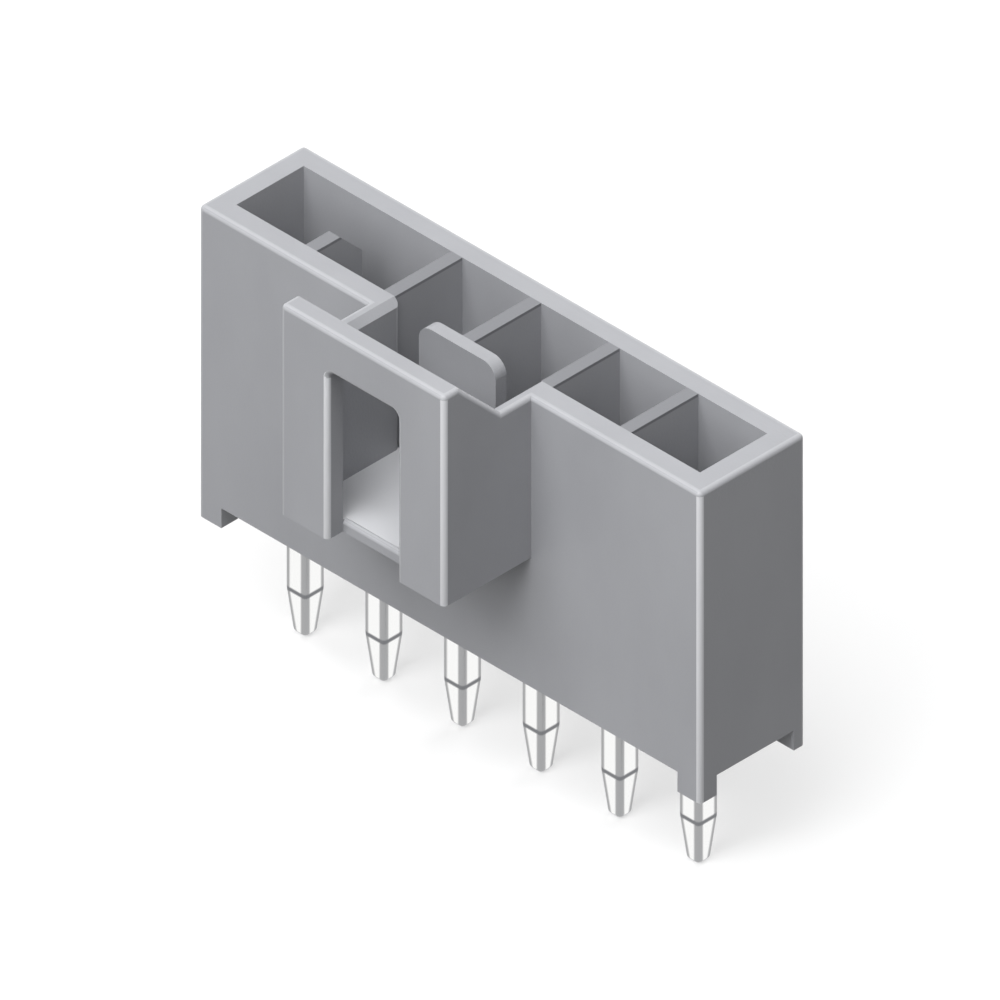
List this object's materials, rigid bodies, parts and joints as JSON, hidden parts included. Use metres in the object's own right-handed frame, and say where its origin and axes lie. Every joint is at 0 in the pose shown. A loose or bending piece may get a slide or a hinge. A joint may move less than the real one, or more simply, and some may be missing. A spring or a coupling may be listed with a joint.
{
  "type": "pin header",
  "caption": "Vertical shrouded single-row pin header with a latch tower, keying ribs, corner stand-offs and square solder tails.",
  "frame": {"origin": "middle of the contact row, on the board's surface, where the feet stand", "axes": "+X along the row, with the keyed double pocket at -X, -Y towards the latch tower, +Z away from the board"},
  "size_m": [0.016, 0.0061, 0.0131],
  "materials": {
    "housing": "moulded grey glass-filled nylon, fine spark-eroded texture",
    "contact": "brass wire, plated with bright tin"
  },
  "bodies": {
    "root": {"housing": "housing", "pin_1": "contact", "pin_2": "contact", "pin_3": "contact", "pin_4": "contact", "pin_5": "contact", "pin_6": "contact"}
  },
  "joints": []
}
